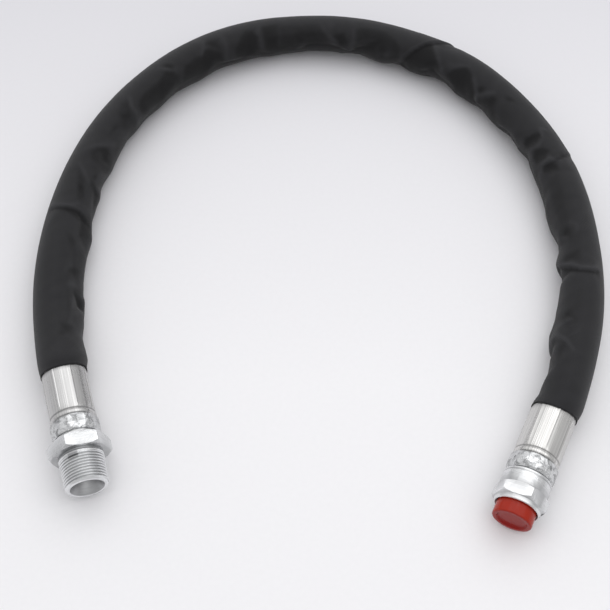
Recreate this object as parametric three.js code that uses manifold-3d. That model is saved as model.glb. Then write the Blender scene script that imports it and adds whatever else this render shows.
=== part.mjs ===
// Hydraulic hose assembly lying in a flat arch: a two-wire rubber hose in a woven protective sleeve, with a
// crimped tapered-pipe male at one end and a crimped pipe swivel, closed by a push-in plug, at the other.
// Millimetres, +Z up, lying on z = 0. Along a fitting, u runs outwards from the sleeve's edge.
import * as THREE from 'three';
import { mergeVertices } from 'three/addons/utils/BufferGeometryUtils.js';
import Module from 'manifold-3d';

const wasm = await Module();
wasm.setup();

// ---- driving dimensions -------------------------------------------------------------------------------
// hose: bore and the walls of its five plies, from the inside out
const HOSE_BORE = 19;
const LINER_WALL = 1.5;
const BRAID_WALL = 0.6;
const FRICTION_WALL = 0.45;
const COVER_WALL = 1.05;
const SLEEVE_WALL = 0.6;
const PLY_SIDES = 10;
const SLEEVE_SIDES = 12;

// ferrule: a tube with an inward end wall, crimped by eight dies
const FERRULE_WALL = 1.5;
const SLEEVE_LAP = 8;
const CRIMP_LENGTH = 36;
const END_RING = 4.2;
const END_WALL = 6.8;
const CRIMP_DIES = 8;
const CRIMP_RIDGE_RISE = 0.3;
const CRIMP_RIDGE_WIDTH = 2.2;
const SERRATIONS = 4;
const SERRATION_DEPTH = 0.35;

// insert: barbed tail, locking groove and a collar left from the hexagon bar
const TAIL_WALL = 1.3;
const TAIL_REACH = 6;
const BARBS = 4;
const BARB_DEPTH = 0.5;
const LOCK_RISE = 2.9;
const LOCK_DEPTH = 1.2;
const LOCK_WIDTH = 2.6;
const COLLAR_LENGTH = 13;
const COLLAR_FLAT_DROP = 0.25;
const COLLAR_RISE = 1.05;

// male end: spanner hexagon and the one inch tapered pipe thread, 1 in 16 on the diameter
const MALE_HEX_SHOULDER = 3.55;
const MALE_HEX_LENGTH = 10.8;
const MALE_NECK = 3.9;
const MALE_TURN = -12.5;
const THREAD_MAJOR = 33.9;
const THREAD_LENGTH = 24;
const THREAD_TAPER = 1 / 16;
const THREAD_RUNOUT = 1.6;
const THREAD_HEIGHT = 1.3;
const THREAD_CHAMFER = 1.4;
const MOUTH_RIM = 2.3;
const SEAT_ANGLE = 30;

// swivel end: stem, nut, the wire that holds the nut on, and the plug
const STEM_RADIUS = 12.4;
const STEM_LENGTH = 12;
const NOSE_LENGTH = 4;
const NUT_THREAD_BORE = 30.3;
const NUT_HEX_WALL = 2.85;
const NUT_SKIRT_WALL = 2.85;
const NUT_FRONT_WALL = 2.1;
const NUT_SKIRT_LENGTH = 12.4;
const NUT_HEX_LENGTH = 9.8;
const NUT_FRONT_LENGTH = 3.6;
const NUT_THREAD_DEPTH = 16.5;
const NUT_TURN = 13;
const WIRE = 2.2;
const WIRE_SETBACK = 5.2;
const WIRE_GAP_ANGLE = 24;
const PLUG_WALL = 1.7;
const PLUG_END_WALL = 3.2;
const PLUG_INSERTED = 10;
const PLUG_OUT = 9.8;
const PLUG_RIM = 3.7;
const PLUG_DISH_DEPTH = 1.6;

// clearances
const TOUCH = 0.3;
const PLY_GAP = 0.3;
const RUNNING = 0.4;
const FLOOR_GAP = 0.2;

// where each fitting lies: the sleeve's edge in plan, and its heading in degrees from -Y towards +X
const MALE_END = { x: -183.6, y: 53.9, heading: 16.3 };
const SWIVEL_END = { x: 183.6, y: 20.8, heading: -25.4 };

// the hose is straight this far behind each sleeve edge, then free from the male end round the arch
const STRAIGHT = 12;
const LAY = [
  [-196.3, 109.2], [-200.1, 159.1], [-195.8, 210.3], [-184, 259.9], [-164.1, 305.9], [-134.2, 347.6],
  [-96.5, 380.9], [-50.1, 402.3], [-0.1, 409.2], [50.7, 405], [98.5, 388.1], [140.9, 361.5],
  [174.9, 323.1], [200.1, 279], [215.1, 229.9], [219.9, 177.5], [216.9, 125.1], [204.5, 73.7],
];

const ROUND = 28;
const deg = Math.PI / 180;

// Radius to the corners of a hexagon that is so far across its flats.
function cornerOf(flats) {
  return flats / 2 / Math.cos(30 * deg);
}

// ---- sizes that follow from them ----------------------------------------------------------------------
// (a ply's section is a polygon, so its flats stand nearer the axis than its corners)
const plyFlat = Math.cos(Math.PI / PLY_SIDES);
const plyStep = PLY_GAP / plyFlat;
const linerIn = HOSE_BORE / 2 / plyFlat;
const linerOut = linerIn + LINER_WALL;
const innerBraidIn = linerOut + plyStep;
const innerBraidOut = innerBraidIn + BRAID_WALL;
const frictionIn = innerBraidOut + plyStep;
const frictionOut = frictionIn + FRICTION_WALL;
const outerBraidIn = frictionOut + plyStep;
const outerBraidOut = outerBraidIn + BRAID_WALL;
const coverIn = outerBraidOut + plyStep;
const coverOut = coverIn + COVER_WALL;
const ferruleBore = coverOut + TOUCH;
const ferruleOut = ferruleBore + FERRULE_WALL;
const sleeveIn = (ferruleOut + TOUCH) / Math.cos(Math.PI / SLEEVE_SIDES);
const sleeveOut = sleeveIn + SLEEVE_WALL;
const layHeight = sleeveOut + FLOOR_GAP;

const ferruleStart = -SLEEVE_LAP;
const ferruleEnd = CRIMP_LENGTH + END_RING;
const endWallStart = ferruleEnd - END_WALL;
const hoseCut = endWallStart - TOUCH;
const tailStart = ferruleStart + TAIL_REACH;
const tailOut = HOSE_BORE / 2 - TOUCH;
const fluidBore = tailOut - BARB_DEPTH - TAIL_WALL;
const collarStart = ferruleEnd + TOUCH;
const collarEnd = collarStart + COLLAR_LENGTH;
const collarFlats = 2 * (ferruleOut - COLLAR_FLAT_DROP);
const collarTurned = ferruleOut + COLLAR_RISE;
const lockShoulder = HOSE_BORE / 2 + LOCK_RISE;
const maleFlats = THREAD_MAJOR + 2 * MALE_HEX_SHOULDER;
const maleHexStart = collarEnd + MALE_NECK;
const maleHexEnd = maleHexStart + MALE_HEX_LENGTH;
const threadStart = maleHexEnd + THREAD_RUNOUT;
const threadEnd = threadStart + THREAD_LENGTH;
const threadSmall = (THREAD_MAJOR - THREAD_TAPER * THREAD_LENGTH) / 2;
const seatMouth = threadSmall - THREAD_CHAMFER - MOUTH_RIM;
const nutBack = collarEnd + 2 * TOUCH;
const nutHexStart = nutBack + NUT_SKIRT_LENGTH;
const nutHexEnd = nutHexStart + NUT_HEX_LENGTH;
const nutFront = nutHexEnd + NUT_FRONT_LENGTH;
const nutFlats = NUT_THREAD_BORE + 2 * NUT_HEX_WALL;
const wireAt = nutBack + WIRE_SETBACK;
const plugRadius = NUT_THREAD_BORE / 2 - TOUCH;
const plugInner = nutFront - PLUG_INSERTED;
const plugOuter = nutFront + PLUG_OUT;

// ---- solids -------------------------------------------------------------------------------------------
function toManifold(geometry) {
  const g = geometry.index ? geometry.clone() : geometry;
  g.deleteAttribute('normal');
  g.deleteAttribute('uv');
  const welded = mergeVertices(g, 1e-4);
  const index = Array.from(welded.index.array);
  const kept = [];
  for (let i = 0; i < index.length; i += 3) {
    const [a, b, c] = index.slice(i, i + 3);
    if (a !== b && b !== c && c !== a) kept.push(a, b, c);
  }
  return new wasm.Manifold(new wasm.Mesh({
    numProp: 3,
    vertProperties: Float32Array.from(welded.attributes.position.array),
    triVerts: Uint32Array.from(kept),
  }));
}

function toGeometry(solid) {
  const mesh = solid.getMesh();
  const g = new THREE.BufferGeometry();
  g.setAttribute('position', new THREE.BufferAttribute(mesh.vertProperties, 3));
  g.setIndex(new THREE.BufferAttribute(mesh.triVerts, 1));
  const flat = g.toNonIndexed();
  flat.computeVertexNormals();
  return flat;
}

// A closed profile of [radius, u] pairs, outside first and running outwards, turned about the fitting's axis.
function turned(profile, segments = ROUND) {
  const points = profile.map(([r, u]) => new THREE.Vector2(r, u));
  const first = points[0];
  const last = points[points.length - 1];
  if (first.x !== last.x || first.y !== last.y) points.push(first.clone());
  return toManifold(new THREE.LatheGeometry(points, segments).rotateX(Math.PI / 2));
}

// A hexagon bar from u0 to u1 with a flat up and down, given a turn about its axis.
function hexBar(flats, u0, u1, turn = 0) {
  const bar = new THREE.CylinderGeometry(cornerOf(flats), cornerOf(flats), u1 - u0, 6);
  return toManifold(bar.rotateX(Math.PI / 2).rotateZ((30 + turn) * deg).translate(0, 0, (u0 + u1) / 2));
}

// A hexagon whose corners are turned to a radius and chamfered at both ends.
function turnedHex(flats, r, u0, u1, chamferIn, chamferOut, turn = 0) {
  const envelope = turned([
    [0, u0], [r - chamferIn[0], u0], [r, u0 + chamferIn[1]],
    [r, u1 - chamferOut[1]], [r - chamferOut[0], u1], [0, u1],
  ]);
  return hexBar(flats, u0, u1, turn).intersect(envelope);
}

function material(color, roughness, metalness) {
  return new THREE.MeshStandardMaterial({ color, roughness, metalness });
}

function node(name, geometry, mat) {
  const mesh = new THREE.Mesh(geometry, mat);
  mesh.name = name;
  return mesh;
}

// ---- the hose and its sleeve --------------------------------------------------------------------------
function placeOf(end, height) {
  const a = end.heading * deg;
  const out = new THREE.Vector3(Math.sin(a), -Math.cos(a), 0);
  return { at: new THREE.Vector3(end.x, end.y, height), side: new THREE.Vector3(-out.y, out.x, 0), out };
}

function alongAxis(place, u) {
  return place.at.clone().addScaledVector(place.out, u);
}

// The points that every ply and the sleeve turn at, so that the gaps between them stay even.
function routeFrom(male, swivel, startU) {
  const free = LAY.map(([x, y]) => new THREE.Vector3(x, y, layHeight));
  return [
    alongAxis(male, startU), alongAxis(male, -STRAIGHT), ...free,
    alongAxis(swivel, -STRAIGHT), alongAxis(swivel, startU),
  ];
}

function ring(radius, sides) {
  const outline = [];
  for (let i = 0; i < sides; i += 1) {
    const a = (i / sides) * 2 * Math.PI;
    outline.push(new THREE.Vector2(radius * Math.cos(a), radius * Math.sin(a)));
  }
  return outline;
}

// Mitred section of a tube at one point of its route: outer corners, then inner corners.
function sectionAt(route, i, inner, outer, sides) {
  const before = route[Math.max(i, 1)].clone().sub(route[Math.max(i, 1) - 1]).normalize();
  const last = route.length - 2;
  const after = route[Math.min(i, last) + 1].clone().sub(route[Math.min(i, last)]).normalize();
  const along = before.clone().add(after).normalize();
  const across = along.clone().cross(new THREE.Vector3(0, 0, 1)).normalize();
  const rise = across.clone().cross(along).normalize();
  const mitre = 1 / along.dot(after);
  const corner = (v) => route[i].clone().addScaledVector(across, v.x * mitre).addScaledVector(rise, v.y);
  return [...ring(outer, sides), ...ring(inner, sides)].map(corner);
}

function tube(route, inner, outer, sides) {
  const corners = route.flatMap((p, i) => sectionAt(route, i, inner, outer, sides));
  const index = [];
  const quad = (a, b, c, d) => index.push(a, b, c, a, c, d);
  const step = 2 * sides;
  const end = (route.length - 1) * step;
  for (let j = 0; j < sides; j += 1) {
    const k = (j + 1) % sides;
    for (let at = 0; at < end; at += step) {
      quad(at + j, at + step + j, at + step + k, at + k);
      quad(at + sides + j, at + sides + k, at + step + sides + k, at + step + sides + j);
    }
    quad(j, k, sides + k, sides + j);
    quad(end + j, end + sides + j, end + sides + k, end + k);
  }
  const geometry = new THREE.BufferGeometry().setFromPoints(corners);
  geometry.setIndex(index);
  return toGeometry(toManifold(geometry));
}

function hosePlies(male, swivel) {
  const route = routeFrom(male, swivel, hoseCut);
  const ply = (inner, outer) => tube(route, inner, outer, PLY_SIDES);
  const rubber = material(0x141414, 0.8, 0);
  const wire = material(0x8f9296, 0.45, 0.9);
  return [
    node('inner_tube', ply(linerIn, linerOut), rubber),
    node('inner_wire_braid', ply(innerBraidIn, innerBraidOut), wire),
    node('friction_layer', ply(frictionIn, frictionOut), rubber),
    node('outer_wire_braid', ply(outerBraidIn, outerBraidOut), wire),
    node('hose_cover', ply(coverIn, coverOut), rubber),
  ];
}

function sleeve(male, swivel) {
  const route = routeFrom(male, swivel, 0);
  const woven = material(0x2b2b2e, 0.95, 0);
  return node('protective_sleeve', tube(route, sleeveIn, sleeveOut, SLEEVE_SIDES), woven);
}

// ---- ferrules -----------------------------------------------------------------------------------------
// Outside of the crimped length: eight die faces with a low ridge squeezed up between each pair.
function crimpOutline() {
  const ridgeTop = ferruleOut - 0.04;
  const face = ferruleOut - CRIMP_RIDGE_RISE;
  const half = CRIMP_RIDGE_WIDTH / 2 / ferruleOut;
  const pitch = (2 * Math.PI) / CRIMP_DIES;
  const outline = new THREE.Shape();
  outline.moveTo(face * Math.cos(half), face * Math.sin(half));
  for (let i = 0; i < CRIMP_DIES; i += 1) {
    const ridge = (i + 1) * pitch;
    outline.absarc(0, 0, face, i * pitch + half, ridge - half, false);
    outline.lineTo(ridgeTop * Math.cos(ridge), ridgeTop * Math.sin(ridge));
    outline.lineTo(face * Math.cos(ridge + half), face * Math.sin(ridge + half));
  }
  return outline;
}

function crimpCutter() {
  const from = ferruleStart + 2.5;
  const length = CRIMP_LENGTH - 0.6 - from;
  const over = 1;
  const kept = new THREE.ExtrudeGeometry(crimpOutline(), {
    depth: length + 2 * over, bevelEnabled: false, curveSegments: 3,
  });
  const clear = ferruleOut + 3;
  const around = turned([[0, from], [clear, from], [clear, from + length], [0, from + length]]);
  return around.subtract(toManifold(kept.translate(0, 0, from - over)));
}

function ferruleGeometry() {
  const root = ferruleBore + SERRATION_DEPTH;
  const lockBore = lockShoulder - LOCK_DEPTH + TOUCH;
  const wallBore = lockShoulder + TOUCH;
  const lockMid = (endWallStart + ferruleEnd) / 2;
  const lockHalf = LOCK_WIDTH / 2 - 2 * TOUCH;
  const inside = [
    [wallBore, ferruleEnd], [wallBore, lockMid + lockHalf + 0.4], [lockBore, lockMid + lockHalf],
    [lockBore, lockMid - lockHalf], [wallBore, lockMid - lockHalf - 0.4], [wallBore, endWallStart],
    [root, endWallStart],
  ];
  const toothed = endWallStart - ferruleStart - 4;
  const pitch = toothed / SERRATIONS;
  for (let i = 0; i < SERRATIONS; i += 1) {
    const u = endWallStart - 1 - i * pitch;
    inside.push([root, u - pitch * 0.15], [ferruleBore, u - pitch]);
  }
  const outside = [
    [root + 0.5, ferruleStart], [ferruleOut - 0.5, ferruleStart], [ferruleOut, ferruleStart + 0.8],
    [ferruleOut, CRIMP_LENGTH - 0.5], [ferruleOut - 0.6, CRIMP_LENGTH], [ferruleOut, CRIMP_LENGTH + 0.6],
    [ferruleOut, ferruleEnd - 0.8], [ferruleOut - 0.6, ferruleEnd],
  ];
  return toGeometry(turned([...outside, ...inside]).subtract(crimpCutter()));
}

// ---- inserts ------------------------------------------------------------------------------------------
// Outer profile of the part that both inserts share: the barbed tail, the locking groove and its shoulders.
function tailProfile() {
  const root = tailOut - BARB_DEPTH;
  const lockMid = (endWallStart + ferruleEnd) / 2;
  const groove = lockShoulder - LOCK_DEPTH;
  const profile = [[root - 0.4, tailStart]];
  const pitch = (hoseCut - 3 - tailStart) / BARBS;
  for (let i = 0; i < BARBS; i += 1) {
    const u = tailStart + 2 + i * pitch;
    profile.push([root, u], [tailOut, u + pitch * 0.9]);
  }
  profile.push(
    [root, endWallStart + TOUCH], [lockShoulder, endWallStart + TOUCH],
    [lockShoulder, lockMid - LOCK_WIDTH / 2],
    [groove, lockMid - LOCK_WIDTH / 2], [groove, lockMid + LOCK_WIDTH / 2],
    [lockShoulder, lockMid + LOCK_WIDTH / 2], [lockShoulder, collarStart],
  );
  return profile;
}

function collar(turn) {
  return turnedHex(collarFlats, collarTurned, collarStart, collarEnd, [1.3, 1.4], [1.3, 2.2], turn);
}

function maleInsertGeometry() {
  const major = THREAD_MAJOR / 2;
  const minorRun = major - THREAD_HEIGHT;
  const seatDepth = (seatMouth - fluidBore) / Math.tan(SEAT_ANGLE * deg);
  const neck = collarTurned - 1.6;
  const body = turned([
    [fluidBore, tailStart], ...tailProfile(), [neck, collarStart], [neck, maleHexEnd],
    [minorRun, maleHexEnd + 0.4], [minorRun, threadStart], [major, threadStart + 1],
    [threadSmall, threadEnd - THREAD_CHAMFER], [threadSmall - THREAD_CHAMFER, threadEnd],
    [seatMouth, threadEnd], [fluidBore, threadEnd - seatDepth],
  ]);
  const hexagon = turnedHex(
    maleFlats, cornerOf(maleFlats), maleHexStart, maleHexEnd, [2.6, 1.5], [2.6, 1.5], MALE_TURN,
  );
  const core = neck - 2;
  const bored = turned([[0, collarStart], [core, collarStart], [core, maleHexEnd], [0, maleHexEnd]]);
  return toGeometry(body.add(collar(MALE_TURN).subtract(bored)).add(hexagon.subtract(bored)));
}

function swivelInsertGeometry() {
  const groove = STEM_RADIUS - WIRE / 2 - TOUCH;
  const stemEnd = collarEnd + STEM_LENGTH;
  const half = WIRE / 2 + TOUCH;
  const body = turned([
    [fluidBore, tailStart], ...tailProfile(), [STEM_RADIUS, collarStart], [STEM_RADIUS, wireAt - half],
    [groove, wireAt - half], [groove, wireAt + half], [STEM_RADIUS, wireAt + half], [STEM_RADIUS, stemEnd],
    [STEM_RADIUS - NOSE_LENGTH * Math.tan(SEAT_ANGLE * deg), stemEnd + NOSE_LENGTH],
    [fluidBore, stemEnd + NOSE_LENGTH],
  ]);
  const core = STEM_RADIUS - 2;
  const bored = turned([[0, collarStart], [core, collarStart], [core, collarEnd], [0, collarEnd]]);
  return toGeometry(body.add(collar(0).subtract(bored)));
}

// ---- swivel nut, its wire and the plug ----------------------------------------------------------------
function nutGeometry() {
  const threadBore = NUT_THREAD_BORE / 2;
  const skirt = threadBore + NUT_SKIRT_WALL;
  const front = threadBore + NUT_FRONT_WALL;
  const chamfered = nutFlats / 2 - 0.2;
  const bore = STEM_RADIUS + RUNNING;
  const groove = STEM_RADIUS + WIRE / 2 + TOUCH;
  const half = WIRE / 2 + TOUCH;
  const threadFoot = nutFront - NUT_THREAD_DEPTH;
  const outside = turned([
    [0, nutBack], [skirt - 0.8, nutBack], [skirt, nutBack + 0.8], [skirt, nutHexEnd - 0.1],
    [chamfered - 0.2, nutHexEnd], [front, nutFront - 0.6], [front - 0.6, nutFront],
    [0, nutFront],
  ]);
  const hexagon = turnedHex(
    nutFlats, cornerOf(nutFlats), nutHexStart, nutHexEnd, [2.6, 1.6], [3.1, 1.9], NUT_TURN,
  );
  const hollow = turned([
    [0, nutBack - 1], [bore, nutBack - 1], [bore, wireAt - half], [groove, wireAt - half],
    [groove, wireAt + half], [bore, wireAt + half], [bore, threadFoot - 1.2], [threadBore, threadFoot],
    [threadBore, nutFront - 1.2],
    [threadBore + 0.9, nutFront], [threadBore + 0.9, nutFront + 1], [0, nutFront + 1],
  ]);
  return toGeometry(outside.add(hexagon).subtract(hollow));
}

function wireGeometry() {
  const turns = 14;
  const open = WIRE_GAP_ANGLE * deg;
  const points = [];
  for (let i = 0; i <= turns; i += 1) {
    const a = Math.PI / 2 + open / 2 + ((2 * Math.PI - open) * i) / turns;
    points.push(new THREE.Vector3(STEM_RADIUS * Math.cos(a), STEM_RADIUS * Math.sin(a), wireAt));
  }
  const path = new THREE.CatmullRomCurve3(points, false, 'centripetal');
  const section = new THREE.Shape(ring(WIRE / 2, 6));
  return toGeometry(toManifold(new THREE.ExtrudeGeometry(section, {
    steps: 2 * turns, extrudePath: path, bevelEnabled: false,
  })));
}

function plugGeometry() {
  const dish = plugRadius - PLUG_RIM;
  const cavity = plugRadius - PLUG_WALL;
  return toGeometry(turned([
    [cavity, plugInner], [plugRadius - 0.8, plugInner], [plugRadius, plugInner + 1.5],
    [plugRadius, plugOuter - 0.8], [plugRadius - 0.7, plugOuter], [dish, plugOuter],
    [dish - 0.8, plugOuter - PLUG_DISH_DEPTH],
    [0, plugOuter - PLUG_DISH_DEPTH], [0, plugOuter - PLUG_DISH_DEPTH - PLUG_END_WALL],
    [cavity - 0.5, plugOuter - PLUG_DISH_DEPTH - PLUG_END_WALL],
  ]));
}

// ---- assembly -----------------------------------------------------------------------------------------
// How far a part reaches below its fitting's axis.
function lowestOf(geometry) {
  geometry.computeBoundingBox();
  return -geometry.boundingBox.min.y;
}

function fitting(place, ...meshes) {
  const up = new THREE.Vector3(0, 0, 1);
  const set = new THREE.Group();
  set.quaternion.setFromRotationMatrix(new THREE.Matrix4().makeBasis(place.side, up, place.out));
  set.position.copy(place.at);
  set.add(...meshes);
  return set;
}

const zinc = material(0xc9ccd0, 0.3, 1);
const ferruleSteel = material(0xbfc1c2, 0.35, 1);
const redPlastic = material(0xa53729, 0.45, 0);
const springWire = material(0x8f9296, 0.4, 1);

// The male's hexagon lies on its lowest corner; the stiff hose carries the nut just clear on its own.
const maleInsert = maleInsertGeometry();
const swivelNut = nutGeometry();
const malePlace = placeOf(MALE_END, Math.max(lowestOf(maleInsert), layHeight));
const swivelPlace = placeOf(SWIVEL_END, Math.max(lowestOf(swivelNut) + TOUCH, layHeight));

const group = new THREE.Group();
group.add(
  ...hosePlies(malePlace, swivelPlace),
  sleeve(malePlace, swivelPlace),
  fitting(
    malePlace,
    node('male_insert', maleInsert, zinc),
    node('male_ferrule', ferruleGeometry(), ferruleSteel),
  ),
  fitting(
    swivelPlace,
    node('swivel_insert', swivelInsertGeometry(), zinc),
    node('swivel_ferrule', ferruleGeometry(), ferruleSteel),
    node('swivel_nut', swivelNut, zinc),
    node('nut_retaining_wire', wireGeometry(), springWire),
    node('protective_plug', plugGeometry(), redPlastic),
  ),
);

export default group;
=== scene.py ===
import math

import bmesh
import bpy
import numpy as np
from mathutils import Matrix, Vector, geometry


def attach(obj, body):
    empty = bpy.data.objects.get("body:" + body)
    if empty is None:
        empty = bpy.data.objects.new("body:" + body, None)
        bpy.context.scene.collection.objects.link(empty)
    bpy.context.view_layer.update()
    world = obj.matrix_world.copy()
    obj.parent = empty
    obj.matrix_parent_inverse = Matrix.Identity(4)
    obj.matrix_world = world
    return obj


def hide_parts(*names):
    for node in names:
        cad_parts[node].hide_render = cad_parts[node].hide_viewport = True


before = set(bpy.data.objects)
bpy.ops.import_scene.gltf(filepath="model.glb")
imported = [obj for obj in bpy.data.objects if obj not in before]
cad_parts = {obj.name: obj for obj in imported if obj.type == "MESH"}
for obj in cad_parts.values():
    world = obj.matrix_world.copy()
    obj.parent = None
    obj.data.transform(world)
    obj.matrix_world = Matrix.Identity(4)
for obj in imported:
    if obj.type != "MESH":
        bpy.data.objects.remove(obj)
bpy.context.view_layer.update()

# ---- the hose: inner tube, two wire braids with rubber between them, and the cover ---------------------
# Rubber tube and cover are vulcanised onto the braids. All five stop inside the ferrules, where the crimp
# holds them on the insert's barbed tail, so they only show when a fitting is taken off. Bent, the hose
# lies against the outside of its loose sleeve, a little off the sleeve's own line.
MM = 0.001
scene = bpy.context.scene

# The sleeve's line leaves the male end along its axis, goes up and over the arch, and comes down along
# the axis of the swivel end. The points are those of the CAD part, in millimetres.
MALE_EDGE = {"x": -183.6, "y": 53.9, "z": 22.519, "heading": 16.3}
SWIVEL_EDGE = {"x": 183.6, "y": 20.8, "z": 20.13, "heading": -25.4}
LAY_HEIGHT = 18.98
LAY = [
    (-196.3, 109.2), (-200.1, 159.1), (-195.8, 210.3), (-184, 259.9), (-164.1, 305.9), (-134.2, 347.6),
    (-96.5, 380.9), (-50.1, 402.3), (-0.1, 409.2), (50.7, 405), (98.5, 388.1), (140.9, 361.5),
    (174.9, 323.1), (200.1, 279), (215.1, 229.9), (219.9, 177.5), (216.9, 125.1), (204.5, 73.7),
]
STRAIGHT = {0.0, -6.0, -12.0}
LINE_STEPS = 6000


def on_axis(edge, u):
    a = math.radians(edge["heading"])
    return (edge["x"] + math.sin(a) * u, edge["y"] - math.cos(a) * u, edge["z"])


def hose_line(start_u, count):
    """Evenly spaced points of a smooth line through the lay, from one fitting to the other."""
    straight = sorted(STRAIGHT | {start_u}, reverse=True)
    points = [on_axis(MALE_EDGE, u) for u in straight]
    points += [(x, y, LAY_HEIGHT) for x, y in LAY]
    points += [on_axis(SWIVEL_EDGE, u) for u in reversed(straight)]
    p = np.array(points)
    t = np.r_[0, np.cumsum(np.linalg.norm(np.diff(p, axis=0), axis=1) ** 0.5)]
    h = np.diff(t)
    n = len(p)
    a = np.eye(n)
    b = np.zeros_like(p)
    for i in range(1, n - 1):
        a[i, i - 1:i + 2] = h[i - 1], 2 * (h[i - 1] + h[i]), h[i]
        b[i] = 6 * ((p[i + 1] - p[i]) / h[i] - (p[i] - p[i - 1]) / h[i - 1])
    bend = np.linalg.solve(a, b)
    q = np.linspace(0, t[-1], LINE_STEPS)
    i = np.clip(np.searchsorted(t, q) - 1, 0, n - 2)
    left, right, gap = (t[i + 1] - q)[:, None], (q - t[i])[:, None], h[i][:, None]
    line = (bend[i] * left ** 3 + bend[i + 1] * right ** 3) / (6 * gap)
    line += (p[i] / gap - bend[i] * gap / 6) * left + (p[i + 1] / gap - bend[i + 1] * gap / 6) * right
    run = np.r_[0, np.cumsum(np.linalg.norm(np.diff(line, axis=0), axis=1))]
    s = np.linspace(0, run[-1], count)
    return s, np.stack([np.interp(s, run, line[:, k]) for k in range(3)], axis=1)


def line_frames(line):
    """Side, rise and direction at each point: side is towards the inside of the arch."""
    along = np.gradient(line, axis=0)
    along /= np.linalg.norm(along, axis=1)[:, None]
    side = np.cross(along, [0.0, 0.0, 1.0])
    side /= np.linalg.norm(side, axis=1)[:, None]
    return side, np.cross(side, along), along


def off_line(turn, side, rise):
    """The way out from the line at a turn in radians, which is 0 towards the inside of the arch."""
    return np.cos(turn)[:, None] * side + np.sin(turn)[:, None] * rise


def wrapped_grid(along, around, place):
    """A grid bent round by place(t, a), t along and a around from 0 to 1, as a bmesh with its UV layer."""
    bm = bmesh.new()
    bm.loops.layers.uv.new("wrap")
    bmesh.ops.create_grid(bm, x_segments=around, y_segments=along, size=0.5, calc_uvs=True)
    flat = np.array([v.co[:] for v in bm.verts])
    bent = place(np.clip(flat[:, 1] + 0.5, 0, 1), np.clip(flat[:, 0] + 0.5, 0, 1))
    for v, co in zip(bm.verts, bent.tolist()):
        v.co = co
    bmesh.ops.remove_doubles(bm, verts=bm.verts, dist=1e-4)
    bmesh.ops.recalc_face_normals(bm, faces=bm.faces)
    return bm


def put_in_scene(name, data):
    obj = bpy.data.objects.new(name, data)
    scene.collection.objects.link(obj)
    return obj


def finish_piece(name, bm, material, body, stands_for=(), place=None, sharp=35):
    """Turns a millimetre bmesh into an object in the shared frame, with its sharp edges marked."""
    bm.transform(Matrix.Scale(MM, 4) @ (place if place is not None else Matrix.Identity(4)))
    mesh = bpy.data.meshes.new(name)
    bm.to_mesh(mesh)
    bm.free()
    mesh.polygons.foreach_set("use_smooth", [True] * len(mesh.polygons))
    mesh.set_sharp_from_angle(angle=math.radians(sharp))
    mesh.materials.append(material)
    obj = put_in_scene(name, mesh)
    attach(obj, body)
    if stands_for:
        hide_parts(*stands_for)
    return obj


def wall(obj, thickness):
    """Gives an open tube its wall, inwards, with closed ends."""
    solid = obj.modifiers.new("wall", "SOLIDIFY")
    solid.thickness = thickness * MM
    solid.offset = -1
    solid.use_even_offset = False
    return obj


def new_material(name, color, roughness, metallic=0.0):
    material = bpy.data.materials.new(name)
    material.use_nodes = True
    nodes = material.node_tree.nodes
    shader = next(n for n in nodes if n.type == "BSDF_PRINCIPLED")
    shader.inputs["Base Color"].default_value = (*color, 1.0)
    shader.inputs["Roughness"].default_value = roughness
    shader.inputs["Metallic"].default_value = metallic
    return material, shader


def add_node(tree, kind, **settings):
    node = tree.nodes.new(kind)
    for key, value in settings.items():
        setattr(node, key, value)
    return node


def feed(tree, node, **values):
    """Sets a node's inputs by name: a constant goes on the socket, an output socket is linked."""
    for key, value in values.items():
        socket = node.inputs[int(key[1:])] if key[0] == "i" and key[1:].isdigit() else node.inputs[key]
        if isinstance(value, bpy.types.NodeSocket):
            tree.links.new(value, socket)
        else:
            socket.default_value = value
    return node


def new_group(name, inputs, outputs):
    group = bpy.data.node_groups.new(name, "ShaderNodeTree")
    for label, kind in inputs:
        group.interface.new_socket(name=label, in_out="INPUT", socket_type=kind)
    for label, kind in outputs:
        group.interface.new_socket(name=label, in_out="OUTPUT", socket_type=kind)
    return group, group.nodes.new("NodeGroupInput"), group.nodes.new("NodeGroupOutput")


def math_node(tree, operation, a, b=0.0, c=0.0):
    node = add_node(tree, "ShaderNodeMath", operation=operation)
    return feed(tree, node, i0=a, i1=b, i2=c).outputs[0]


# Fine uneven grain for rubber, steel and plastic: a broad mask and a fine height from object coordinates.
def make_grain():
    group, given, out = new_group(
        "uneven_grain",
        [("Broad Scale", "NodeSocketFloat"), ("Fine Scale", "NodeSocketFloat")],
        [("Broad", "NodeSocketFloat"), ("Fine", "NodeSocketFloat")],
    )
    place = add_node(group, "ShaderNodeTexCoord").outputs["Object"]
    broad = add_node(group, "ShaderNodeTexNoise")
    feed(group, broad, Vector=place, Scale=given.outputs["Broad Scale"], Detail=3.0, Roughness=0.55)
    fine = add_node(group, "ShaderNodeTexNoise")
    feed(group, fine, Vector=place, Scale=given.outputs["Fine Scale"], Detail=2.0, Roughness=0.6)
    feed(group, out, Broad=broad.outputs["Fac"], Fine=fine.outputs["Fac"])
    return group


uneven_grain = make_grain()


def use_group(material, group, **values):
    node = material.node_tree.nodes.new("ShaderNodeGroup")
    node.node_tree = group
    for key, value in values.items():
        node.inputs[key.replace("_", " ")].default_value = value
    return node


def blend_color(tree, factor, a, b):
    mix = add_node(tree, "ShaderNodeMix", data_type="RGBA")
    sockets = {s.identifier: s for s in mix.inputs}
    for key, value in (("Factor_Float", factor), ("A_Color", a), ("B_Color", b)):
        if isinstance(value, bpy.types.NodeSocket):
            tree.links.new(value, sockets[key])
        else:
            sockets[key].default_value = value
    return next(s for s in mix.outputs if s.identifier == "Result_Color")


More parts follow.
